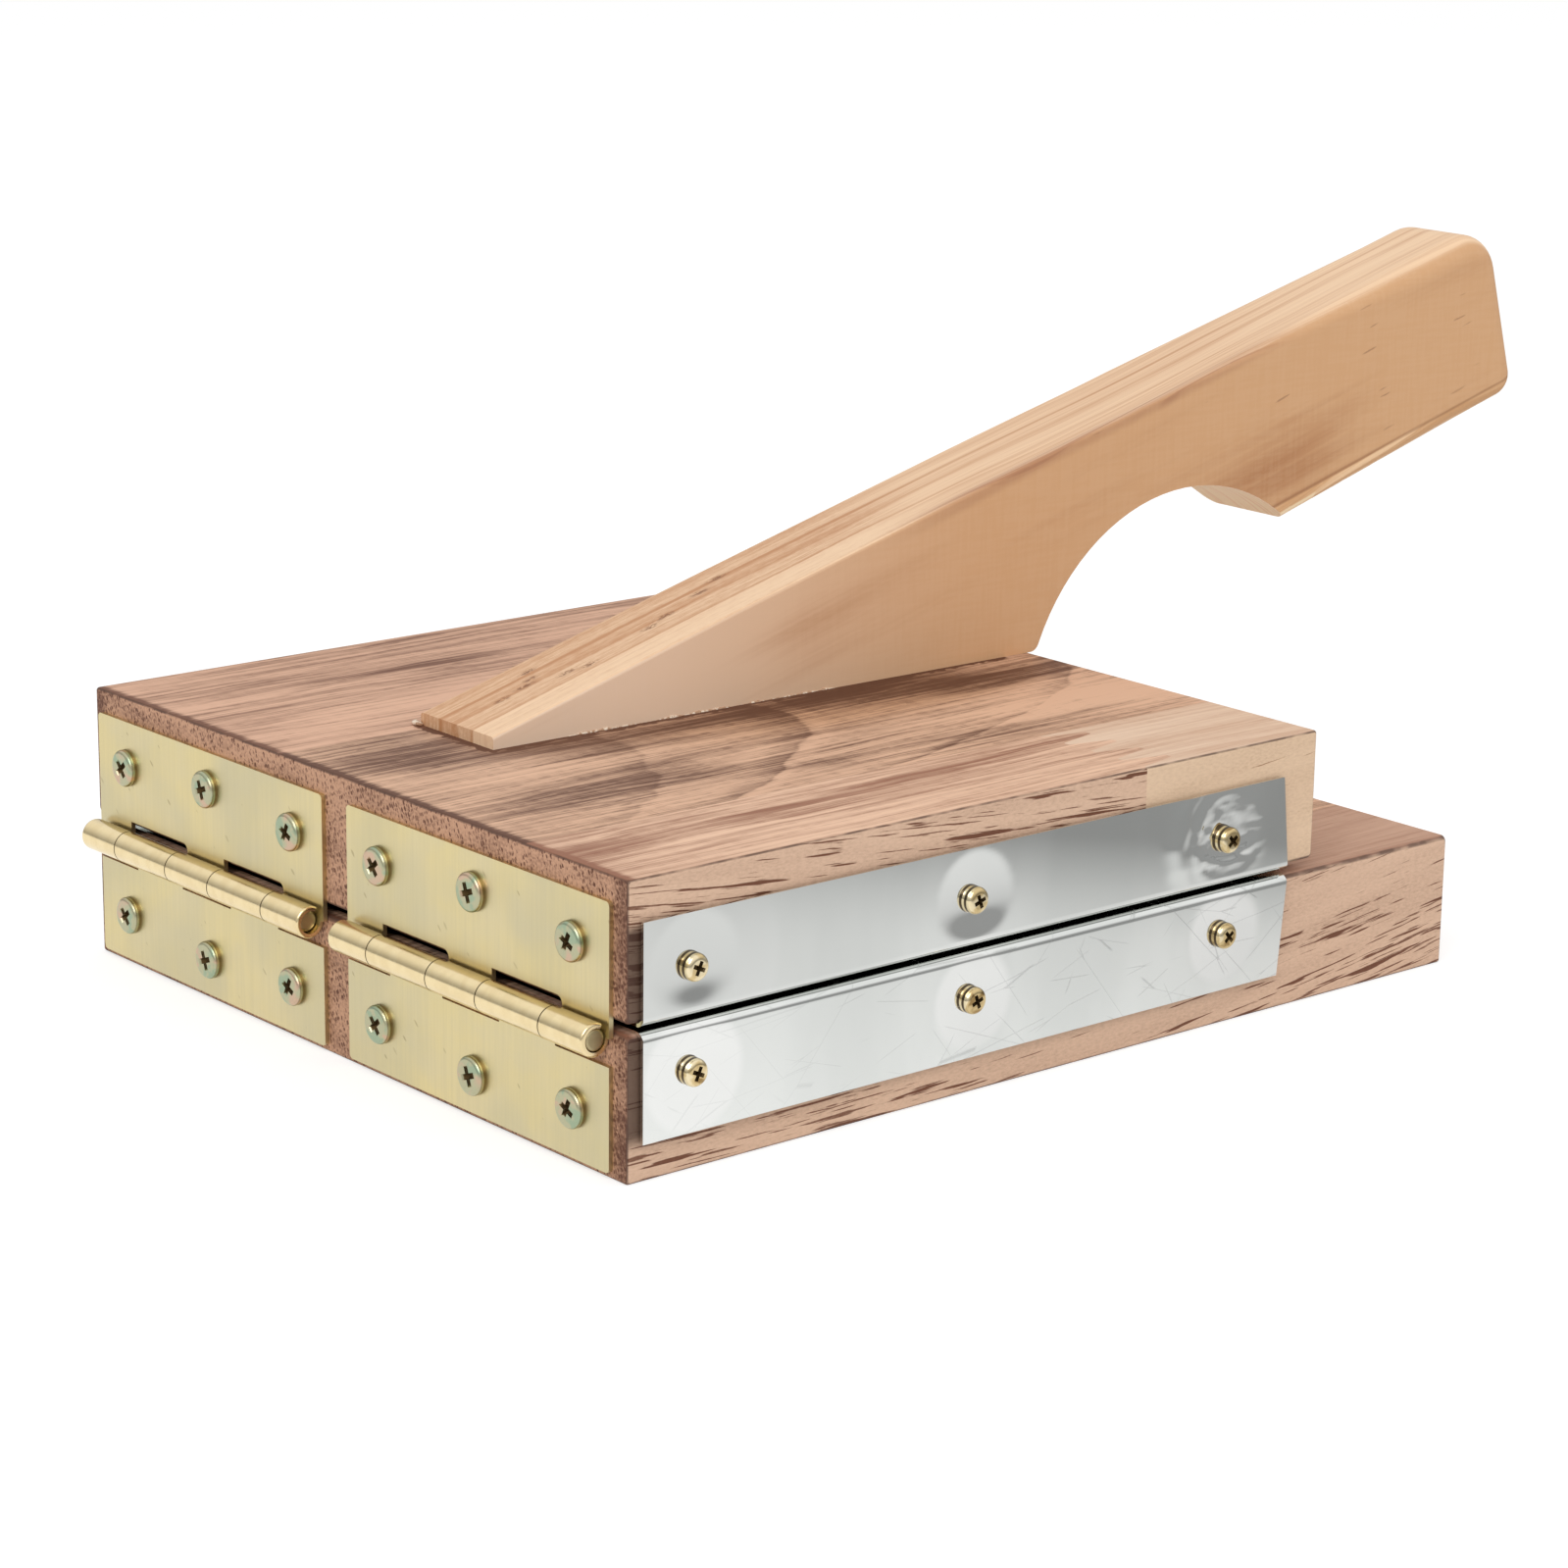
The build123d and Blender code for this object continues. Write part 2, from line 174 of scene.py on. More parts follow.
class Finish:
    """One material's node tree, with a short call for each kind of node that the finishes use."""

    def __init__(self, name, **surface):
        self.material = bpy.data.materials.new(name)
        self.material.use_nodes = True
        self.tree = self.material.node_tree
        self.surface = self.tree.nodes["Principled BSDF"]
        for socket, value in surface.items():
            self.surface.inputs[socket.replace("_", " ")].default_value = value
        coordinates = self.add("TexCoord")
        self.normal = coordinates.outputs["Normal"]
        self.place = self.vector("SCALE", coordinates.outputs["Object"], scale=1 / MM)

    def add(self, kind, *values, **settings):
        return add_node(self.tree, kind, *values, **settings)

    def vector(self, operation, a, b=None, scale=None):
        node = self.add("VectorMath", a, b, None, scale, operation=operation)
        scalar = operation in ("DISTANCE", "LENGTH", "DOT_PRODUCT")
        return node.outputs["Value" if scalar else "Vector"]

    def math(self, operation, a, b=None, c=None):
        return self.add("Math", a, b, c, operation=operation).outputs[0]

    def times(self, a, b):
        return self.math("MULTIPLY", a, b)

    def plus(self, a, b):
        return self.math("ADD", a, b)

    def minus(self, a, b):
        return self.math("SUBTRACT", a, b)

    def vary(self, tone, figure, strength):
        """A tone moved up and down by a figure that lies between 0 and 1."""
        return self.math("MULTIPLY_ADD", self.minus(figure, 0.5), strength, tone)

    def axes(self, vector):
        return self.add("SeparateXYZ", vector).outputs

    def join(self, x, y, z):
        return self.add("CombineXYZ", x, y, z).outputs[0]

    def noise(self, vector, stretch, detail=2.0, roughness=0.5, distortion=0.0, colour=False):
        """Noise with about this many features a millimetre along each axis."""
        node = self.add("TexNoise", self.vector("MULTIPLY", vector, stretch))
        node.inputs["Scale"].default_value = 1
        node.inputs["Detail"].default_value = detail
        node.inputs["Roughness"].default_value = roughness
        node.inputs["Distortion"].default_value = distortion
        return node.outputs["Color" if colour else "Fac"]

    def cells(self, vector, **settings):
        """Cells of about one unit over the vector's first two axes."""
        node = self.add("TexVoronoi", vector, voronoi_dimensions="2D", **settings)
        node.inputs["Scale"].default_value = 1
        return node.outputs

    def between(self, value, low, high, bottom=0.0, top=1.0):
        """A smooth step from bottom, at low, to top, at high."""
        return self.add("MapRange", value, low, high, bottom, top,
                        interpolation_type="SMOOTHSTEP").outputs[0]

    def falls(self, value, low, high, top=1.0):
        """A smooth step from top, at low, to 0, at high."""
        return self.between(value, low, high, top, 0.0)

    def mix(self, factor, a, b, blend="MIX"):
        node = self.add("Mix", factor, data_type="RGBA", blend_type=blend)
        for socket, tint in zip([each for each in node.inputs if each.type == "RGBA"], (a, b)):
            feed(self.tree, socket, tint)
        return [socket for socket in node.outputs if socket.type == "RGBA"][0]

    def strokes(self, vector, spacing, fullest, share):
        """Lens-shaped strokes, scattered over the vector's first two axes.

        spacing is in millimetres, share how many of the cells hold a stroke, and fullest the half
        length of the longest, in cells."""
        ragged = self.noise(vector, (0.4, 1.6, 1), 3, colour=True)
        ragged = self.vector("SCALE", self.vector("SUBTRACT", ragged, (0.5, 0.5, 0.5)), scale=0.16)
        even = self.vector("MULTIPLY", vector, (1 / spacing[0], 1 / spacing[1], 0))
        cells = self.cells(self.vector("ADD", even, ragged))
        lots = self.axes(cells["Color"])
        size = self.times(self.falls(lots["X"], 0.0, share), fullest)
        stroke = self.between(self.minus(size, cells["Distance"]), 0.0, 0.06)
        return self.times(stroke, self.between(lots["Y"], 0.0, 1.0, 0.45, 1.0))

    def patch(self, vector, centre, reach, soft=0.5):
        """1 inside an ellipsoid, falling softly to 0 at its edge."""
        away = self.vector("SUBTRACT", vector, centre)
        away = self.vector("DIVIDE", away, reach)
        return self.falls(self.vector("LENGTH", away), soft, 1.0)

    def bump(self, height, distance, strength):
        node = self.add("Bump", strength, distance * MM)
        feed(self.tree, node.inputs["Height"], height)
        return node.outputs[0]

    def paint(self, **sockets):
        """Feeds the surface's sockets by name."""
        for name, value in sockets.items():
            feed(self.tree, self.surface.inputs[name.replace("_", " ")], value)
        return self.material


def dress(material, *nodes):
    """Gives CAD nodes one material."""
    for node in nodes:
        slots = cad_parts[node].data.materials
        slots.clear()
        slots.append(material)


# Wood

end_strip_dark = srgb(66, 44, 34)
edge_brown = srgb(84, 60, 50)
end_grain_tones = (srgb(98, 60, 44), srgb(204, 158, 128))
warm_cast = (0.82, 0.75, 0.66)
foot_length = 97.0             # of the handle's foot on the upper board, in millimetres


def handle_foot_shadow_and_glue(wood):
    """1 along the painted contact shadow and glue stain at the handle's near foot and under its tip,
    0 beside it.
    """
    off = wood.vector("SUBTRACT", wood.place, handle_tip)
    u = wood.vector("DOT_PRODUCT", off, (cos(handle_yaw), -sin(handle_yaw), 0))
    v = wood.vector("DOT_PRODUCT", off, (sin(handle_yaw), cos(handle_yaw), 0))
    rough = wood.noise(wood.place, (0.5, 0.5, 0.5), 2)
    wide = wood.between(rough, 0.3, 0.7, 0.9, 2.2)
    beside = wood.math("DIVIDE", wood.math("ABSOLUTE", wood.plus(v, handle_half)), wide)
    beside = wood.times(wood.falls(beside, 0.3, 1.0), wood.falls(u, foot_length, foot_length + 1))
    beside = wood.times(beside, wood.between(u, -1.0, -0.5))
    before = wood.math("DIVIDE", wood.math("ABSOLUTE", u), wide)
    within = wood.falls(wood.math("ABSOLUTE", v), handle_half - 0.5, handle_half + 0.5)
    before = wood.times(wood.falls(before, 0.4, 1.1), within)
    return wood.math("MAXIMUM", beside, before)


def growth_ring(wood, tip_x, bow, soft, depth):
    """How much one growth ring darkens a flat face: a line, a shade before it, a glow after it."""
    x, y, _ = wood.axes(wood.place)
    off_middle = wood.minus(y, ring_middle_y)
    squared = wood.times(off_middle, off_middle)
    uneven = wood.minus(wood.noise(wood.place, (0.07, 0.12, 0.07), 3), 0.5)
    beyond = wood.math("MULTIPLY_ADD", squared, bow, wood.minus(x, tip_x))
    beyond = wood.plus(beyond, wood.times(uneven, 9.0))
    inside = wood.times(wood.between(beyond, -soft, 0.0, 0.0, 0.6), wood.falls(beyond, -0.2, 0.5))
    line = wood.falls(wood.math("ABSOLUTE", beyond), 0.2, 1.3, 0.7)
    glow = wood.falls(wood.math("ABSOLUTE", wood.minus(beyond, 3.0)), 0.0, 3.0, 0.22)
    return wood.times(wood.minus(wood.math("MAXIMUM", inside, line), glow), depth)


def stave_flat(wood, fine, tones, streaks, marks, patches, warm):
    """The colour of a stave's flat faces."""
    x, y, z = wood.axes(wood.place)
    sway = wood.noise(wood.place, (0.015, 0.05, 0.05), 3, colour=True)
    sway = wood.vector("SUBTRACT", sway, (0.5, 0.5, 0.5))
    swayed = wood.vector("ADD", wood.place, wood.vector("MULTIPLY", sway, (0, 7, 7)))
    ragged = wood.vector("ADD", wood.place, wood.vector("MULTIPLY", sway, (60, 12, 0)))
    wide = wood.noise(swayed, (0.010, 0.13, 0.13), 3)
    middle = wood.noise(swayed, (0.016, 0.8, 0.8), 3, 0.65)
    tone = 0.68
    for figure, strength in zip((wide, middle, fine), streaks):
        tone = wood.vary(tone, figure, strength)
    pores = wood.strokes(wood.join(x, wood.plus(y, z), 0.0), (3.0, 0.34), 0.42, 0.75)
    tone = wood.minus(tone, wood.times(pores, streaks[3]))
    for mark in marks:
        tone = wood.minus(tone, growth_ring(wood, *mark))
    for centre, reach, depth in patches:
        tone = wood.minus(tone, wood.times(wood.patch(ragged, centre, reach, 0.0), depth))
    # Darker along the hinge end
    tone = wood.minus(tone, wood.falls(x, hinge_end_x + 0.3, hinge_end_x + 2.0, 0.8))
    # Painted contact shadow, with a glue stain, along the handle's near foot and under its tip
    tone = wood.minus(tone, handle_foot_shadow_and_glue(wood))
    flat = wood.mix(wood.between(tone, 0.0, 1.0), *tones)
    if warm:
        flat = wood.mix(wood.patch(ragged, *warm, 0.3), flat, warm_cast, "MULTIPLY")
    return flat


def side_strokes(wood, dashes):
    """Dark strokes that lean and bend along a stave's side, and the vector that leans with them."""
    x, _, z = wood.axes(wood.place)
    lean = wood.math("MULTIPLY_ADD", x, dashes["bend"], dashes["lean"])
    lain = wood.join(x, wood.math("MULTIPLY_ADD", x, lean, z), 0.0)
    shifted = wood.vector("ADD", lain, (37, 11, 0))
    crowd = wood.noise(lain, (0.02, 0.13, 0), 2)
    least = wood.math("MULTIPLY_ADD", crowd, -0.4, 0.93 - 0.14 * dashes["share"])
    broad = wood.minus(wood.noise(lain, (0.06, 1.05, 0), 2, 0.5), least)
    thin = wood.minus(wood.noise(shifted, (0.085, 2.2, 0), 2, 0.5), least)
    strokes = wood.math("MAXIMUM", wood.between(broad, 0.0, 0.05),
                        wood.between(thin, 0.0, 0.06, 0.0, 0.8))
    return strokes, lain


def stave_side(wood, dashes, strokes, lain):
    """The colour of a stave's side, with a darker strip beside the plates' hinge ends."""
    x, _, z = wood.axes(wood.place)
    sand = wood.noise(wood.place, (1.1, 3.0, 3.0), 3, 0.7)
    drift = wood.noise(lain, (0.02, 0.25, 1), 2)
    tone = wood.vary(wood.vary(0.78, sand, 0.65), drift, 0.5)
    tone = wood.minus(tone, wood.times(strokes, 0.8))
    end_strip = wood.times(wood.between(z, 4, 7), wood.falls(z, 34, 36))
    end_strip = wood.times(end_strip, wood.falls(x, hinge_end_x + 2.0, hinge_end_x + 4.0, 0.85))
    side = wood.mix(wood.between(tone, 0.0, 1.0), dashes["dark"], dashes["light"])
    return wood.mix(end_strip, side, end_strip_dark)


def stave_end(wood):
    """The colour of the end grain: specks, arcs and dust, darker towards the long edges."""
    _, y, z = wood.axes(wood.place)
    slope = wood.join(wood.math("MULTIPLY_ADD", y, 0.45, z),
                      wood.math("MULTIPLY_ADD", z, -0.45, y), 0.0)
    specks = wood.strokes(slope, (1.0, 0.45), 0.46, 1.0)
    arcs = wood.noise(wood.place, (0.01, 0.10, 0.28), 3)
    dust = wood.noise(wood.place, (1, 2.2, 2.2), 2)
    tone = wood.vary(wood.vary(0.72, arcs, 1.0), dust, 1.2)
    tone = wood.math("MULTIPLY_ADD", specks, -0.7, tone)
    edge = -near_side / MM
    edges_darker = wood.between(wood.math("ABSOLUTE", y), edge - 4, edge - 1, 0.0, 0.4)
    return wood.mix(wood.between(wood.minus(tone, edges_darker), 0.0, 1.0), *end_grain_tones)


def board_wood(name, tones, streaks, dashes, marks=(), patches=(), warm=None):
    """The wood of one kind of stave.

    tones: its dark and its light colour on the flat faces.
    streaks: how strongly wide, middle and fine streaks and short pores darken the flat faces.
    dashes: how the strokes on the sides lean and bend, how many there are, and the sides' colours.
    marks: growth rings across the stave, as their tip's x, bow, soft width and depth.
    patches: centres, reaches and depths of darker areas.
    warm: the centre and the reach of a browner area."""
    wood = Finish(name, Roughness=0.62, Specular_IOR_Level=0.3)
    fine = wood.noise(wood.place, (0.06, 2.6, 2.6), 3, 0.7)
    flat = stave_flat(wood, fine, tones, streaks, marks, patches, warm)
    strokes, lain = side_strokes(wood, dashes)
    side = stave_side(wood, dashes, strokes, lain)

    facing = wood.axes(wood.vector("ABSOLUTE", wood.normal))
    on_side = wood.between(facing["Y"], 0.6, 0.8)
    on_end = wood.between(facing["X"], 0.6, 0.8)
    all_round = wood.mix(on_end, wood.mix(on_side, flat, side), stave_end(wood))
    corner = wood.times(facing["Z"], wood.plus(facing["X"], facing["Y"]))
    corner = wood.math("MULTIPLY_ADD", facing["X"], facing["Y"], corner)
    nibble = wood.noise(wood.place, (0.25, 0.25, 0.25), 2)
    corner = wood.times(wood.between(corner, 0.25, 0.5), wood.between(nibble, 0.3, 0.6, 0.35, 0.85))
    all_round = wood.mix(corner, all_round, edge_brown)
    relief = wood.minus(wood.times(fine, 0.4), wood.times(strokes, on_side))
    return wood.paint(Base_Color=all_round, Normal=wood.bump(relief, 0.06, 0.5))


def boards_finish(settings):
    """The woods of the boards: the same figures in both, but strokes that lean another way."""
    near = {
        "tones": (settings.stripe_dark, settings.stripe_light),
        "streaks": (0.8, 1.5, 0.9, 0.15),
        "patches": [((-20, -49.5, 41), (150, 5, 14), 0.4), ((-74, -52, 41), (14, 9, 12), 0.3)],
    }
    middle = {
        "tones": (settings.walnut_dark, settings.walnut_light),
        "streaks": (0.6, 1.4, 1.1, 0.24),
        "marks": [(-8, 0.029, 9, 0.42), (49.4, 0.053, 7, 0.36), (-38, 0.02, 8, 0.2),
                  (96, 0.05, 10, 0.16)],
        "patches": [((-64, 3, 41), (30, 17, 14), 0.5), ((-62, -27, 41), (30, 10, 14), 0.45),
                    ((-60, -14, 41), (30, 6, 14), -0.25), ((-32, -6, 41), (32, 12, 14), 0.5),
                    ((-38, -25, 41), (20, 8, 14), 0.25), ((-25, -35, 41), (16, 5, 14), 0.3),
                    ((8, -5, 41), (40, 9, 14), 0.72), ((32, -12, 41), (28, 9, 14), 0.5),
                    ((44, -30, 41), (44, 18, 14), -0.34), ((12, -37, 41), (30, 4, 14), 0.3)],
        "warm": ((6, -10, 41), (46, 15, 14)),
    }
    far = {
        "tones": (settings.streak_dark, settings.streak_light),
        "streaks": (1.0, 1.5, 1.0, 0.16),
        "patches": [((-32, 46, 41), (30, 6, 14), 0.34), ((-62, 50, 41), (34, 8, 14), 0.25),
                    ((-46, 28, 41), (50, 7, 14), -0.15), ((-50, 60, 41), (60, 4, 14), 0.18)],
    }
    side = {"dark": srgb(112, 70, 50), "light": srgb(222, 187, 160)}
    upper = {"lean": 0.059, "bend": -0.00033, "share": 0.95, **side}
    lower = {"lean": -0.057, "bend": -0.00055, "share": 0.8, **side}
    quieter = {"tones": (settings.stripe_dark, settings.lower_light),
               "streaks": (0.5, 0.8, 0.6, 0.1)}
    for level, dashes, nearest in (("upper", upper, near), ("lower", lower, quieter)):
        for name, figures, place in (("Striped", nearest, "near"), ("Walnut", middle, "middle"),
                                     ("Streaked", far, "far")):
            wood = board_wood(f"{name} stave, {level}", dashes=dashes, **figures)
            dress(wood, f"{level}_board_{place}_stave")
    pale = {"lean": -0.09, "bend": 0.0, "share": 0.2,
            "dark": srgb(150, 108, 78), "light": srgb(228, 198, 167)}
    wood = board_wood("Pale end length", (settings.end_dark, settings.end_light),
                      (0.7, 1.1, 0.7, 0.12), pale)
    dress(wood, "upper_board_near_stave_end")


# The handle's wood. Its grain runs along the slope of its top, so u runs up the slope from the
# tip, v across and w away from it, in millimetres.

pit_brown = srgb(138, 90, 56)
pit_width = 0.9
seams = ((3.8, 0.7, 0.4), (-3.7, 0.5, 0.2), (0.6, 1.0, 0.12), (-6.9, 0.8, 0.16))  # v, width, depth
wedge_side = srgb(235, 207, 181)
grip_side = srgb(213, 166, 122)
weave_pale = srgb(232, 200, 164)
fleck_brown = srgb(150, 104, 70)
rim_red = srgb(164, 110, 80)
strip_edge_brown = srgb(150, 100, 64)
underside_light_tones = (srgb(214, 164, 116), srgb(248, 208, 164))
hollow_bounce_tones = (srgb(240, 190, 144), srgb(255, 228, 186))
# The pale strip is a painted highlight, where a rounded-over underside would catch the light
strip_width = 3.0              # of the light strip along the grip's underside


def wedge_pits(wood, u, v):
    """Pits in the top of the wedge, broken up by fine grit."""
    pits = None
    for pit_u, pit_v, long in handle_pits:
        pit = wood.patch(wood.join(u, v, 0.0), (pit_u, pit_v, 0.0), (long, pit_width, 1.0), 0.15)
        pits = pit if pits is None else wood.math("MAXIMUM", pits, pit)
    grit = wood.between(wood.noise(wood.place, (1.1, 1.8, 1.8), 2, 0.7), 0.42, 0.56)
    return wood.times(pits, grit)


def handle_top(wood, settings, uvw, sway, figures, pits):
    """The colour of the top: long stripes and seams, and a mottled wedge with a pale near lane."""
    u, v, _ = uvw
    tone = 0.66
    for figure, strength in zip(figures, (0.8, 0.7, 0.55)):
        tone = wood.vary(tone, figure, strength)
    lane = wood.math("MULTIPLY_ADD", sway, 0.3, v)
    for seam, wide, depth in seams:
        away = wood.math("ABSOLUTE", wood.minus(lane, seam))
        tone = wood.minus(tone, wood.falls(away, 0.0, wide, depth))
    in_wedge = wood.falls(u, 70, 95)
    near_lane = wood.falls(lane, -4.0, -3.5)
    mottle = wood.minus(wood.noise(wood.join(*uvw), (0.5, 1.8, 1.8), 3, 0.7), 0.5)
    tone = wood.math("MULTIPLY_ADD", wood.times(mottle, in_wedge), 0.6, tone)
    lift = wood.math("MULTIPLY_ADD", near_lane, 0.45, -0.24)
    tone = wood.math("MULTIPLY_ADD", lift, in_wedge, tone)
    tone = wood.plus(tone, wood.between(u, 150, 190, 0.0, 0.16))
    top = wood.mix(wood.between(tone, 0.0, 1.0), settings.handle_seam, settings.handle_light)
    return wood.mix(wood.times(pits, 0.95), top, pit_brown)


def handle_side(wood, settings, uvw, swayed):
    """The colour of the sides: sanded, with brown areas, a faint weave and a few flecks."""
    u, _, w = uvw
    grain = wood.join(*uvw)
    cloud = wood.noise(grain, (0.02, 0.1, 0.06), 2)
    streak = wood.noise(swayed, (0.005, 0.5, 0.5), 3, 0.6)
    side = wood.mix(wood.between(u, 10, 100), wedge_side, grip_side)
    brown = wood.patch(grain, (158, -9, -24), (42, 30, 17), 0.0)
    dusk = wood.patch(grain, (62, -9, -9), (34, 30, 9), 0.0)
    shade = wood.math("MULTIPLY_ADD", brown, 0.65, wood.times(dusk, 0.4))
    shade = wood.vary(wood.vary(shade, cloud, 0.9), streak, 0.8)
    side = wood.mix(wood.between(shade, 0.0, 1.0), side, settings.handle_dark)
    weave = wood.plus(wood.noise(wood.place, (1.6, 1, 0.12), 2),
                      wood.noise(wood.place, (0.12, 1, 1.6), 2))
    side = wood.mix(wood.between(weave, 0.8, 1.2, 0.0, 0.09), side, weave_pale)
    share = wood.between(u, 90, 190, 0.03, 0.5)
    flecks = wood.strokes(wood.join(u, w, 0.0), (20.0, 2.2), 0.11, share)
    return wood.mix(wood.times(flecks, 0.6), side, fleck_brown)


def handle_finish(settings):
    """Pale honey wood: a striped top, quiet sides, a reddish near edge, a painted highlight along
    the grip's underside and painted bounce light in the arch's hollow.
    """
    wood = Finish("Handle wood", Roughness=0.5, Specular_IOR_Level=0.35)
    along = (cos(grain_slope) * cos(handle_yaw), -cos(grain_slope) * sin(handle_yaw),
             sin(grain_slope))
    across = (sin(handle_yaw), cos(handle_yaw), 0)
    up = (-sin(grain_slope), 0, cos(grain_slope))
    off = wood.vector("SUBTRACT", wood.place, handle_tip)
    u, v, w = uvw = [wood.vector("DOT_PRODUCT", off, axis) for axis in (along, across, up)]
    grain = wood.join(*uvw)
    sway = wood.times(wood.minus(wood.noise(grain, (0.012, 0.06, 0.05), 2), 0.5), 6.0)
    swayed = wood.join(u, wood.plus(v, sway), w)
    bands = wood.noise(swayed, (0.002, 0.3, 0.015), 2)
    lines = wood.noise(swayed, (0.006, 1.5, 0.04), 3, 0.65)
    fine = wood.noise(grain, (0.06, 4.5, 0.3), 2)
    pits = wedge_pits(wood, u, v)
    top = handle_top(wood, settings, uvw, sway, (bands, lines, fine), pits)
    side = handle_side(wood, settings, uvw, swayed)

    facing = wood.axes(wood.normal)
    on_side = wood.between(wood.math("ABSOLUTE", facing["Y"]), 0.55, 0.85)
    all_round = wood.mix(on_side, top, side)
    inwards = wood.math("MAXIMUM", wood.plus(v, handle_half), wood.minus(top_edge_drop, w))
    rim = wood.times(wood.falls(wood.math("MULTIPLY_ADD", sway, 0.25, inwards), 0.8, 2.2, 0.7),
                     wood.times(wood.between(u, 72, 95), wood.falls(u, 150, 172)))
    rim = wood.times(rim, wood.between(lines, 0.35, 0.55, 1.0, 0.45))
    all_round = wood.mix(rim, all_round, rim_red)

    # Painted highlight: the downward faces and a pale strip along the bottom of the grip's sides
    on_grip = wood.between(u, 128, 132)
    strip_top = grip_under + strip_width
    strip = wood.times(wood.falls(w, strip_top - 0.4, strip_top), on_grip)
    underside_light = wood.math("MAXIMUM", wood.between(facing["Z"], -0.02, -0.1), strip)
    all_round = wood.mix(underside_light, all_round, wood.mix(wood.between(lines, 0.35, 0.6), *underside_light_tones))
    # A darker line along the top of the strip
    strip_edge_line = wood.math("ABSOLUTE", wood.minus(w, strip_top + 0.1))
    strip_edge_line = wood.times(wood.falls(strip_edge_line, 0.0, 0.5, 0.6), on_grip)
    all_round = wood.mix(strip_edge_line, all_round, strip_edge_brown)
    # Painted bounce light: the arch's hollow is pale, as if lit by the floor from below
    before_end = wood.falls(wood.axes(wood.place)["X"], arch_end_x - 0.5, arch_end_x)
    arch_bounce_light = wood.times(wood.between(facing["Z"], -0.25, -0.4), before_end)
    all_round = wood.mix(arch_bounce_light, all_round, wood.mix(wood.between(lines, 0.3, 0.5), *hollow_bounce_tones))
    relief = wood.plus(wood.times(lines, 0.5), wood.times(fine, 0.6))
    relief = wood.minus(relief, wood.times(pits, 3.0))
    dress(wood.paint(Base_Color=all_round, Normal=wood.bump(relief, 0.08, 0.5)), "handle")


# Metal, in millimetres

scratches_from = -60
scratch_sets = ((0.35, 5, 0), (-0.3, 6, 40), (0.8, 9, 90), (-0.9, 9, 150), (0.08, 7, 210))
leaf_front = -0.7              # of a leaf's outer face, from the hinge's box
ring_pitch = 0.8               # of the grooves on the heads' sides
smeared_steel = srgb(200, 203, 200)
scratched_steel = srgb(130, 132, 130)
# Painted reflection: the brighter discs round the screws, where the dished sheet reflects more light
dish_reflection_white = srgb(246, 246, 244)
shaded_steel = srgb(198, 200, 197)
warm_leaf = srgb(226, 208, 148)
brushed_leaf = srgb(198, 186, 148)
dull_leaf = srgb(190, 184, 156)
leaf_ticks = srgb(130, 112, 76)
dull_barrel = srgb(210, 182, 126)


def fine_scratches(metal, turn, spacing, seed, share):
    """Long, fine scratches in broken lengths, at about one angle over the near and far faces."""
    x, _, z = metal.axes(metal.place)
    along = metal.math("MULTIPLY_ADD", x, cos(turn), metal.times(z, sin(turn)))
    over = metal.math("MULTIPLY_ADD", z, cos(turn), metal.times(x, -sin(turn)))
    plane = metal.vector("ADD", metal.join(along, over, 0.0), (seed, seed, 0))
    cells = metal.cells(metal.vector("MULTIPLY", plane, (0.1 / spacing, 1 / spacing, 0)),
                        feature="DISTANCE_TO_EDGE")
    lines = metal.falls(cells["Distance"], 0.0, 0.07 / spacing)
    lengths = metal.noise(plane, (0.06, 0.2, 0), 1)
    return metal.times(lines, metal.between(lengths, 0.62 - share, 0.66 - share))


def polished_steel(settings, name, scratched, discs, bright):
    """Mirror-polished steel with a painted reflection, brighter in discs round the screws, and a few
    long scratches.

    scratched: how many scratches there are.
    discs: the painted reflection discs' x, z and reach.
    bright: how much the discs stand out."""
    metal = Finish(name, Metallic=1.0, Roughness=0.06)
    smears = metal.noise(metal.place, (0.06, 0.05, 0.02), 3)
    tint = metal.mix(metal.between(smears, 0.35, 0.65, 0.0, 0.3), settings.steel, smeared_steel)
    x, _, z = metal.axes(metal.place)
    flat = metal.join(x, 0.0, z)
    for disc_x, disc_z, reach in discs:
        away = metal.vector("DISTANCE", flat, (disc_x, 0, disc_z))
        # Painted reflection: a brighter disc round each screw
        tint = metal.mix(metal.falls(away, reach - 1.5, reach + 0.2, bright), tint, dish_reflection_white)
    if not scratched:
        hinge_half = metal.falls(x, -70, -20, 0.45)
        return metal.paint(Base_Color=metal.mix(hinge_half, tint, shaded_steel))
    lines = 0.0
    for scratch_set in scratch_sets:
        lines = metal.math("MAXIMUM", lines, fine_scratches(metal, *scratch_set, scratched))
    fewer = metal.between(x, scratches_from, scratches_from + 40, 0.35, 1.0)
    lines = metal.times(lines, fewer)
    tint = metal.mix(metal.times(lines, 0.24), tint, scratched_steel)
    rough = metal.math("MULTIPLY_ADD", lines, 0.25, 0.06)
    return metal.paint(Base_Color=tint, Roughness=rough)


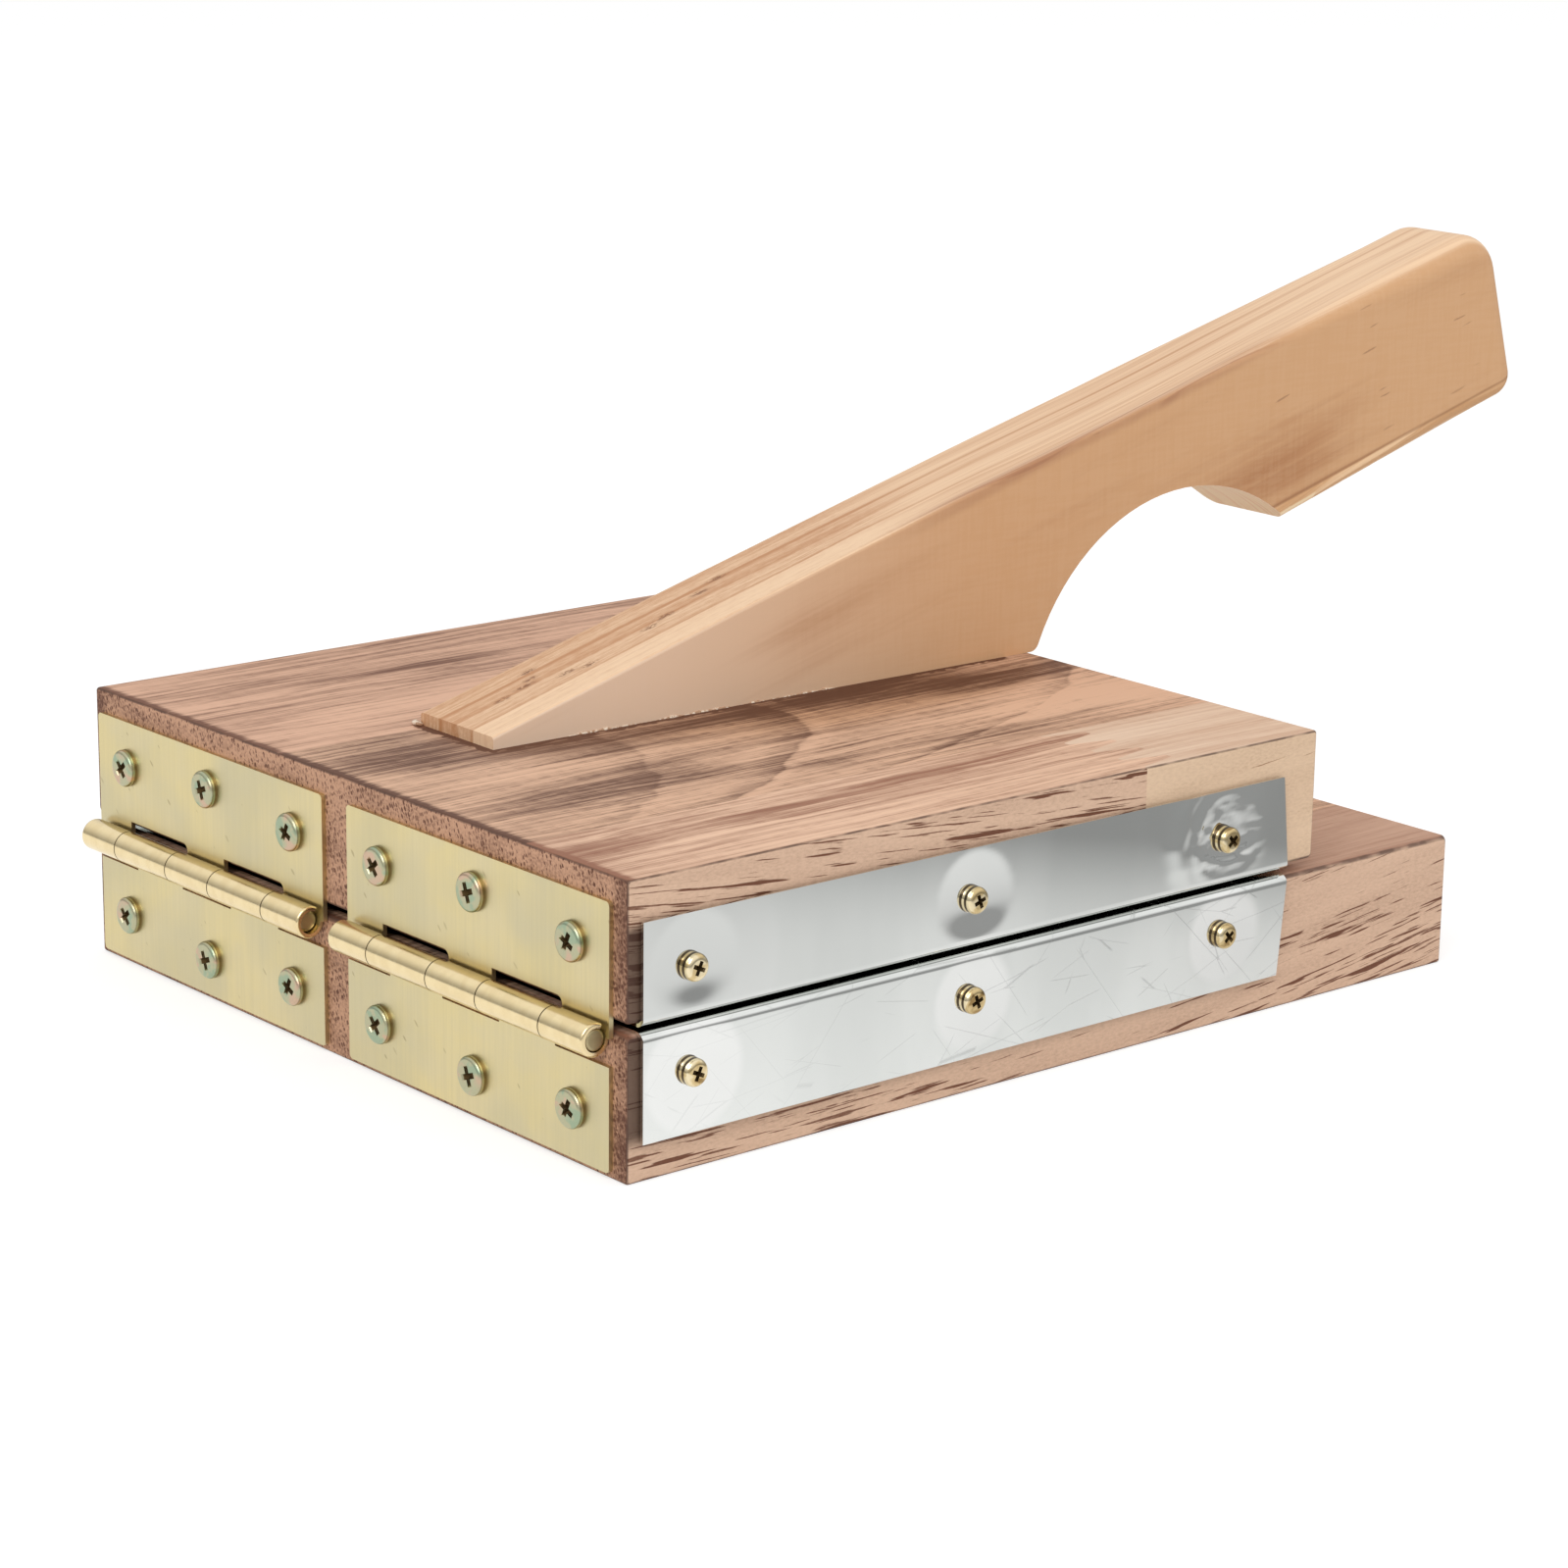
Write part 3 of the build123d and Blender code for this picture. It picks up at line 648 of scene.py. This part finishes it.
def hinge_brass(settings):
    """Satin leaves with fine upright scratches, and warmer, smoother barrels."""
    metal = Finish("Pale brass", Metallic=1.0, Roughness=0.34)
    x, y, z = metal.axes(metal.place)
    face_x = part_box("near_hinge_upper_leaf")[1].x / MM + leaf_front
    on_barrel = metal.falls(x, face_x - 0.25, face_x - 0.1)
    clouds = metal.noise(metal.place, (0.12, 0.12, 0.16), 3)
    brush = metal.noise(metal.place, (1, 2.2, 0.06), 2, 0.6)
    leaf = metal.mix(metal.between(clouds, 0.3, 0.7, 0.0, 0.55), settings.leaf, warm_leaf)
    leaf = metal.mix(metal.between(brush, 0.3, 0.7, 0.0, 0.22), leaf, brushed_leaf)
    dull = metal.noise(metal.place, (0.03, 0.045, 0.045), 2)
    leaf = metal.mix(metal.between(dull, 0.4, 0.62, 0.0, 0.4), leaf, dull_leaf)
    diagonal = metal.join(metal.plus(y, z), metal.minus(z, y), 0.0)
    ticks = metal.strokes(diagonal, (9, 3), 0.12, 0.4)
    leaf = metal.mix(metal.times(ticks, 0.45), leaf, leaf_ticks)
    ring = metal.noise(metal.place, (0.3, 0.5, 0.3), 2)
    barrel = metal.mix(metal.between(ring, 0.35, 0.65, 0.0, 0.2), settings.barrel, dull_barrel)
    tint = metal.mix(on_barrel, leaf, barrel)
    rough = metal.between(on_barrel, 0.0, 1.0, 0.36, 0.2)
    rougher = metal.between(on_barrel, 0.0, 1.0, 1.0, 0.2)
    height = metal.times(metal.plus(brush, clouds), rougher)
    return metal.paint(Base_Color=tint, Roughness=rough, Normal=metal.bump(height, 0.03, 0.25))


hinge_screw_radius = 2.8
zinc_tints = (srgb(160, 176, 148), srgb(204, 176, 150))
zinc_groove = srgb(128, 112, 78)
brass_tints = (srgb(240, 224, 186), srgb(158, 130, 84))
brass_groove = srgb(70, 56, 42)


def near_any(metal, points):
    """The distance to the nearest of some points, in millimetres."""
    away = [metal.vector("DISTANCE", metal.place, tuple(point)) for point in points]
    nearest = away[0]
    for other in away[1:]:
        nearest = metal.math("MINIMUM", nearest, other)
    return nearest


def plated_screws(settings, node, faces, axis, base, tints, reach, shine, groove):
    """Plated screws of one group, with a drifting tint and a darker colour in the cross recesses.

    faces: the middles of the heads' faces, which look along the axis.
    base, tints: the plating's colour, and those that it drifts to.
    reach: the recess's, from the middle.
    shine: the plating's roughness.
    groove: the colour in the rings round the heads' sides."""
    metal = Finish(node.replace("_", " "), Metallic=1.0, Roughness=shine)
    drift = metal.noise(metal.place, (0.35, 0.35, 0.35), 2, 0.5, 0.6)
    tint = metal.mix(metal.between(drift, 0.38, 0.48), tints[0], base)
    tint = metal.mix(metal.between(drift, 0.53, 0.64), tint, tints[1])
    outward = "XYZ"[axis]
    depth = metal.minus(metal.axes(metal.place)[outward], faces[0][axis])
    depth = metal.math("ABSOLUTE", depth)
    within = metal.falls(near_any(metal, faces), reach, reach + 0.15)
    sunk = metal.times(within, metal.between(depth, 0.12, 0.3))
    tint = metal.mix(sunk, tint, settings.recess)
    turned = metal.falls(metal.math("ABSOLUTE", metal.axes(metal.normal)[outward]), 0.25, 0.6)
    turned = metal.times(turned, metal.minus(1.0, sunk))
    wave = metal.math("SINE", metal.times(depth, 2 * pi / ring_pitch))
    rings = metal.between(wave, -0.8, 0.1)
    tint = metal.mix(metal.times(turned, metal.times(rings, 0.95)), tint, groove)
    dress(metal.paint(Base_Color=tint, Roughness=metal.between(sunk, 0.0, 1.0, shine, 0.7)), node)


def head_faces(node, axis, along, radius, drops):
    """The middles of the faces of a group of three heads, in millimetres, from the group's box.

    axis: the one that they look along.
    along: the one that they are spread on.
    drops: how high each sits in the box, as a share."""
    low, high = (Vector(corner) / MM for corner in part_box(node))
    outside = low[axis] if abs(low[axis]) > abs(high[axis]) else high[axis]
    faces = []
    for share, drop in zip((0.0, 0.5, 1.0), drops):
        face = Vector((0, 0, low.z + radius + drop * (high.z - low.z - 2 * radius)))
        face[axis] = outside
        face[along] = low[along] + radius + share * (high[along] - low[along] - 2 * radius)
        faces.append(face)
    return faces


# Making and finishing meshes

def finish_piece(name, body, material, replaced=()):
    """Names the active object, gives it its material and ties it to its body."""
    piece = bpy.context.active_object
    piece.name = piece.data.name = name
    piece.data.materials.clear()
    piece.data.materials.append(material)
    bpy.ops.object.select_all(action="DESELECT")
    piece.select_set(True)
    bpy.ops.object.transform_apply(location=True, rotation=True, scale=True)
    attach(piece, body)
    if replaced:
        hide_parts(*replaced)
    return piece


def apply_all(piece):
    """Applies a piece's modifiers in order."""
    for modifier in list(piece.modifiers):
        bpy.ops.object.modifier_apply(modifier=modifier.name)


# Polished plates, in millimetres

sheet = 0.5
bend = 1.0                     # outer radius
# Strengths of the painted reflection discs on the smooth plate and on the buckled one
clear_discs, faint_discs = 0.55, 0.2
flange_slant = 1.4
plate_screw_radius = 1.95
straight_reach = 5.0           # from the bend, over which a dish fades
ridge_rows = ((0.6, 10.0, 1.7), (0.35, 6.6, 0.9))    # share of the height, radius, width
fold_radius = 8.5
head_radius = 2.4              # within which the sheet lies flat under the screw


def plate_profile(across, half, rise, inward):
    """A point (y, z) of a plate's outer line, by its distance along the sheet from the middle."""
    flat, turn = half - bend, bend * pi / 2
    if across <= flat:
        return across, rise
    if across <= flat + turn:
        angle = (across - flat) / bend
        return flat + bend * sin(angle), rise + inward * bend * (1 - cos(angle))
    return half, rise + inward * (bend + across - flat - turn)


def plate_stations(half, depth):
    """Distances from the middle line: wide steps over the face, close ones further out."""
    flat, turn = half - bend, bend * pi / 2
    stations, start = [], 0.0
    for stretch, count in ((flat, 14), (turn, 8), (depth - bend, 28)):
        stations += [start + stretch * step / count for step in range(count)]
        start += stretch
    return stations + [start]


def stand_off(x, z, screws, lift, hang):
    """How far the sheet stands off the wood: nothing at a screw, lift outside its dish.

    hang is how far down the flange the spot is. Near the bend the sheet stays straight."""
    share = 1.0
    for screw_x, screw_z, reach in screws:
        share = min(share, (hypot(x - screw_x, z - screw_z) / reach) ** 2)
    straight = max(0.0, 1 - hang / straight_reach) ** 2
    return lift * (share + (1 - share) * straight)


def crumpled(x, z, screw, height):
    """A buckled spot round one screw: ridges on the side away from the edge, folds inside them."""
    away = hypot(x - screw[0], z - screw[1])
    side = max(0.0, (screw[0] - x) / max(away, 0.1))
    turn = noise.noise(Vector((x * 0.1, z * 0.25, 0.0)))
    ridges = sum(share * exp(-((away - radius - turn) / width) ** 2)
                 for share, radius, width in ridge_rows)
    folds = abs(noise.noise(Vector((x * 0.22, z * 0.5, 3.7))))
    folds += 0.5 * abs(noise.noise(Vector((x * 0.7, z * 0.9, 9.1))))
    near = max(0.0, 1 - away / fold_radius) * min(1.0, max(0.0, away - head_radius) / 1.5)
    return height * (side ** 2 * ridges + folds * near)


def polished_plate(settings, name, body, inward, dishes, discs, buckled, scratched):
    """A sheet bent over a board's long edges, pulled in at its screws.

    inward: 1 where the flanges point up and -1 where they point down.
    dishes, discs: how far the sheet is pulled in, and how far its painted reflection brightens it,
    round each of three screws.
    buckled: whether it is crumpled at the near side's last screw.
    scratched: how many scratches it has."""
    low, high = (Vector(corner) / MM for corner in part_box(name))
    rise, edge = (low.z, high.z) if inward > 0 else (high.z, low.z)
    depth = abs(edge - rise)
    stations = plate_stations(high.y, depth)
    steps = len(stations) - 1
    bpy.ops.object.select_all(action="DESELECT")
    bpy.ops.mesh.primitive_grid_add(x_subdivisions=settings.columns, y_subdivisions=2 * steps,
                                    size=1)
    piece = bpy.context.active_object
    screws = {}
    for side, group in ((-1, name + "_screws_near"), (1, name + "_screws_far")):
        faces = head_faces(group, 1, 0, plate_screw_radius, (0, 0, 0))
        screws[side] = [(face.x, face.z, reach) for face, reach in zip(faces, dishes)]
    discs = [(x, z, disc) for (x, z, _), disc in zip(screws[-1], discs)]
    # The painted reflection is fainter on the buckled plate
    bright = faint_discs if buckled else clear_discs
    material = polished_steel(settings, name.replace("_", " "), scratched, discs, bright)
    for vertex in piece.data.vertices:
        row = round((vertex.co.y + 0.5) * 2 * steps) - steps
        side = -inward if row > 0 else inward
        across = stations[abs(row)]
        y, z = plate_profile(across, high.y, rise, inward)
        hang = max(0.0, abs(z - rise) - bend)
        cut = flange_slant * hang / (depth - bend)
        x = low.x + (vertex.co.x + 0.5) * (high.x - low.x - cut)
        off = stand_off(x, z, screws[side], settings.lift / MM, hang)
        off *= min(1.0, abs(z - rise) / bend)
        if buckled and side < 0:
            off += crumpled(x, z, screws[side][-1], settings.crumple / MM) * min(1.0, hang / 3)
        vertex.co = Vector((x, side * (y + off), z)) * MM
    shell = piece.modifiers.new("Sheet", "SOLIDIFY")
    shell.thickness = sheet * MM
    shell.offset = -1
    apply_all(piece)
    bpy.ops.object.shade_smooth_by_angle(angle=radians(40))
    return finish_piece(name + "_polished", body, material, (name,))


# Glue, in millimetres

glue_tones = (srgb(176, 138, 108), srgb(232, 214, 192))
glue_starts, glue_ends = 12.0, 66.0
glue_radius = 0.34
drop_radius = 0.8


def glue_trace(material):
    """A thin, uneven fillet of dried glue along the handle's near foot, and a drop at its tip."""
    bpy.ops.object.select_all(action="DESELECT")
    bpy.ops.mesh.primitive_grid_add(x_subdivisions=400, y_subdivisions=10, size=1)
    piece = bpy.context.active_object
    for vertex in piece.data.vertices:
        share, turn = vertex.co.x + 0.5, 2 * pi * vertex.co.y
        u = glue_starts + share * (glue_ends - glue_starts)
        rough = noise.noise(Vector((u * 0.35, 0.3, 0)))
        rough += 0.6 * noise.noise(Vector((u * 1.6, 4.1, 0)))
        radius = glue_radius * min(1.0, max(0.05, 0.35 + rough))
        radius *= min(1.0, 12 * share, 12 * (1 - share))
        v = -handle_half - radius * cos(turn)
        vertex.co = Vector((handle_tip[0] + u * cos(handle_yaw) + v * sin(handle_yaw),
                            handle_tip[1] - u * sin(handle_yaw) + v * cos(handle_yaw),
                            top_z / MM + radius * sin(turn))) * MM
    tip_corner = Vector((handle_tip[0] - 0.3, handle_tip[1] + handle_half, top_z / MM + 0.3))
    bpy.ops.object.select_all(action="DESELECT")
    bpy.ops.mesh.primitive_ico_sphere_add(subdivisions=3, radius=drop_radius * MM,
                                          location=tip_corner * MM, scale=(0.8, 1.2, 0.6))
    drop = bpy.context.active_object
    for vertex in drop.data.vertices:
        vertex.co *= 1 + 0.5 * noise.noise(vertex.co * 1500)
    piece.select_set(True)
    bpy.context.view_layer.objects.active = piece
    bpy.ops.object.join()
    bpy.ops.object.mode_set(mode="EDIT")
    bpy.ops.mesh.select_all(action="SELECT")
    bpy.ops.mesh.remove_doubles(threshold=1e-6)
    bpy.ops.mesh.normals_make_consistent(inside=False)
    bpy.ops.object.mode_set(mode="OBJECT")
    bpy.ops.object.shade_smooth()
    return finish_piece("handle_glue", "lid", material)


# Stage. Lamps are placed in metres, the pool of light on the floor in millimetres.

key_place = (-0.95, -0.75, 1.15)
fill_place = (1.1, -1.0, 0.7)
lamp_target = (0.02, 0, 0.04)
lamp_size = 1.0
horizon_level = 0.3            # of the white that reflections see at the horizon
white_height = 0.55            # from which they see full white
pool_start = 100               # where the pool starts to end, towards the grip's side
pool_end = 215
pool_level = 0.73
pool_slope = -0.0022
pool_drop = -0.62
shown_level = 0.62             # of the floor's own light, as the camera sees it
matt_floor = 0.36              # of the floor's answer to the lamps, and what the camera sees more
matt_more = 0.14


def aim(lamp, target):
    """Turns a lamp towards a point."""
    lamp.rotation_euler = (Vector(target) - lamp.location).to_track_quat("-Z", "Y").to_euler()


def soft_lamp(name, place, power, mirrored):
    """A large square lamp that looks at the press; mirrored says whether the metals show it."""
    bpy.ops.object.light_add(type="AREA", location=place)
    lamp = bpy.context.active_object
    lamp.name = name
    lamp.data.shape = "SQUARE"
    lamp.data.size = lamp_size
    lamp.data.energy = power
    lamp.visible_glossy = mirrored
    aim(lamp, lamp_target)


def seen_directly(tree):
    """Whether a ray comes from the camera, and whether from the camera or from a reflection."""
    path = add_node(tree, "LightPath").outputs
    camera = path["Is Camera Ray"]
    both = add_node(tree, "Math", camera, path["Is Glossy Ray"], operation="MAXIMUM")
    return camera, both.outputs[0]


def white_world(daylight):
    """Even daylight; the camera sees white, and reflections see it grey near the horizon."""
    world = bpy.data.worlds.new("Studio")
    bpy.context.scene.world = world
    world.use_nodes = True
    tree = world.node_tree
    sky = tree.nodes["Background"]
    sky.inputs["Color"].default_value = (1, 1, 1, 1)
    camera, direct = seen_directly(tree)
    up = add_node(tree, "SeparateXYZ", add_node(tree, "TexCoord").outputs["Object"]).outputs["Z"]
    height = add_node(tree, "MapRange", up, 0.0, white_height, horizon_level, 1.0)
    white = add_node(tree, "Mix", camera, None, height.outputs[0], 1.0)
    strength = add_node(tree, "Mix", direct, None, daylight, white.outputs[0])
    feed(tree, sky.inputs["Strength"], strength.outputs[0])


def white_floor(size):
    """A pale floor that the camera sees as white with a faint shadow.

    In reflections it darkens towards the grip's side, where the pool of light ends."""
    bpy.ops.object.select_all(action="DESELECT")
    bpy.ops.mesh.primitive_plane_add(size=size, location=(0, 0, 0))
    floor = bpy.context.active_object
    floor.name = "floor"
    paper = Finish("White floor", Base_Color=(0.82, 0.82, 0.82, 1), Roughness=0.9,
                   Specular_IOR_Level=0.0)
    tree = paper.tree
    outwards = paper.vector("DOT_PRODUCT", paper.place, (0.7, -0.7, 0))
    camera, direct = seen_directly(tree)
    pool = paper.math("MULTIPLY_ADD", outwards, pool_slope, pool_level)
    pool = paper.plus(pool, paper.between(outwards, pool_start, pool_end, 0.0, pool_drop))
    pool = paper.math("MINIMUM", paper.math("MAXIMUM", pool, 0.0), pool_level)
    strength = paper.math("MULTIPLY_ADD", camera, paper.minus(shown_level, pool), pool)
    dim = paper.add("BsdfDiffuse", paper.math("MULTIPLY_ADD", camera, matt_more, matt_floor))
    glow = paper.add("Emission", None, strength)
    lifted = paper.add("AddShader", dim.outputs[0], glow.outputs[0])
    shown = paper.add("MixShader", direct, paper.surface.outputs[0], lifted.outputs[0])
    feed(tree, tree.nodes["Material Output"].inputs["Surface"], shown.outputs[0])
    floor.data.materials.append(paper.material)


# Operators

class PRESS_OT_stage(bpy.types.Operator):
    """Add the camera, the lamps, the white world and the floor"""
    bl_idname = "press.stage"
    bl_label = "Stage"

    def execute(self, context):
        settings = context.scene.press_stage
        bpy.ops.object.camera_add(location=settings.camera_place, rotation=settings.camera_turn)
        camera = context.active_object
        camera.name = "photo_camera"
        camera.data.lens = settings.lens
        camera.data.sensor_width = 36
        camera.data.clip_start = 0.01
        context.scene.camera = camera
        context.scene.view_settings.view_transform = "Standard"
        soft_lamp("key_lamp", key_place, settings.key_power, True)
        soft_lamp("fill_lamp", fill_place, settings.fill_power, False)
        white_world(settings.daylight)
        white_floor(settings.floor_size)
        return {"FINISHED"}


class PRESS_OT_boards(bpy.types.Operator):
    """Give the staves of both boards their woods"""
    bl_idname = "press.boards"
    bl_label = "Boards"

    def execute(self, context):
        boards_finish(context.scene.press_wood)
        return {"FINISHED"}


class PRESS_OT_handle(bpy.types.Operator):
    """Give the handle its wood and add the traces of glue at its foot"""
    bl_idname = "press.handle"
    bl_label = "Handle"

    def execute(self, context):
        handle_finish(context.scene.press_wood)
        glue = Finish("Dried glue", Base_Color=(0.86, 0.82, 0.74, 1), Roughness=0.35)
        cloud = glue.noise(glue.place, (1.5, 1.5, 1.5), 2)
        tint = glue.mix(glue.between(cloud, 0.45, 0.6), *glue_tones)
        glue_trace(glue.paint(Base_Color=tint))
        return {"FINISHED"}


class PRESS_OT_plates(bpy.types.Operator):
    """Make the polished plates with their dished and crumpled flanges"""
    bl_idname = "press.plates"
    bl_label = "Plates"

    def execute(self, context):
        settings = context.scene.press_plate
        polished_plate(settings, "lower_plate", "base", inward=-1, dishes=(8.0, 7.0, 7.5),
                       discs=(8.8, 7.6, 7.6), buckled=False, scratched=0.12)
        polished_plate(settings, "upper_plate", "lid", inward=1, dishes=(7.5, 7.0, 7.0),
                       discs=(15.0, 7.6, 7.0), buckled=True, scratched=0.0)
        return {"FINISHED"}


class PRESS_OT_hinges(bpy.types.Operator):
    """Give the hinges' leaves, barrels and pins their metals"""
    bl_idname = "press.hinges"
    bl_label = "Hinges"

    def execute(self, context):
        settings = context.scene.press_metal
        leaves = [f"{side}_hinge_{level}_leaf"
                  for side in ("near", "far") for level in ("upper", "lower")]
        dress(hinge_brass(settings), *leaves)
        pin = Finish("Pin steel", Metallic=1.0, Roughness=0.4)
        turned = pin.noise(pin.place, (0.4, 5.0, 0.4), 2)
        tint = pin.mix(turned, srgb(150, 134, 100), srgb(196, 182, 142))
        dress(pin.paint(Base_Color=tint), "near_hinge_pin", "far_hinge_pin")
        return {"FINISHED"}


class PRESS_OT_screws(bpy.types.Operator):
    """Give every group of screws its plating and the darker colour in its recesses"""
    bl_idname = "press.screws"
    bl_label = "Screws"

    def execute(self, context):
        settings = context.scene.press_metal
        for side in ("near", "far"):
            for level, drops in (("upper", (0, 1, 0)), ("lower", (1, 0, 1))):
                node = f"{side}_hinge_{level}_screws"
                faces = head_faces(node, 0, 1, hinge_screw_radius, drops)
                plated_screws(settings, node, faces, 0, settings.zinc, zinc_tints,
                              reach=1.7, shine=0.3, groove=zinc_groove)
            for plate in ("lower", "upper"):
                node = f"{plate}_plate_screws_{side}"
                faces = head_faces(node, 1, 0, plate_screw_radius, (0, 0, 0))
                plated_screws(settings, node, faces, 1, settings.brass, brass_tints,
                              reach=1.2, shine=0.16, groove=brass_groove)
        steel = Finish("Hidden screw steel", Metallic=1.0, Roughness=0.35)
        dull = steel.noise(steel.place, (0.4, 0.4, 0.4), 2)
        tint = steel.mix(dull, srgb(150, 150, 150), srgb(190, 190, 190))
        dress(steel.paint(Base_Color=tint), "handle_screws")
        return {"FINISHED"}


class PRESS_PT_panel(bpy.types.Panel):
    """The press's pieces, in the order they are made"""
    bl_idname = "PRESS_PT_panel"
    bl_label = "Dumpling Wrapper Press"
    bl_space_type = "VIEW_3D"
    bl_region_type = "UI"
    bl_category = "Press"

    def draw(self, context):
        for operator in OPERATORS:
            self.layout.operator(operator.bl_idname)
        for group in SETTINGS:
            settings = getattr(context.scene, group)
            box = self.layout.box()
            for name in settings.bl_rna.properties.keys():
                if name not in ("rna_type", "name"):
                    box.prop(settings, name)


SETTINGS = {"press_stage": StageSettings, "press_wood": WoodSettings, "press_plate": PlateSettings,
            "press_metal": MetalSettings}
OPERATORS = (PRESS_OT_stage, PRESS_OT_boards, PRESS_OT_handle, PRESS_OT_plates, PRESS_OT_hinges,
             PRESS_OT_screws)


def register():
    for name, group in SETTINGS.items():
        bpy.utils.register_class(group)
        setattr(bpy.types.Scene, name, PointerProperty(type=group))
    for kind in (*OPERATORS, PRESS_PT_panel):
        bpy.utils.register_class(kind)


def unregister():
    for kind in (PRESS_PT_panel, *reversed(OPERATORS)):
        bpy.utils.unregister_class(kind)
    for name, group in SETTINGS.items():
        delattr(bpy.types.Scene, name)
        bpy.utils.unregister_class(group)


def main():
    """Registers the add-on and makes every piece."""
    register()
    bpy.ops.press.stage()
    bpy.ops.press.boards()
    bpy.ops.press.handle()
    bpy.ops.press.plates()
    bpy.ops.press.hinges()
    bpy.ops.press.screws()


if __name__ == "__main__":
    main()
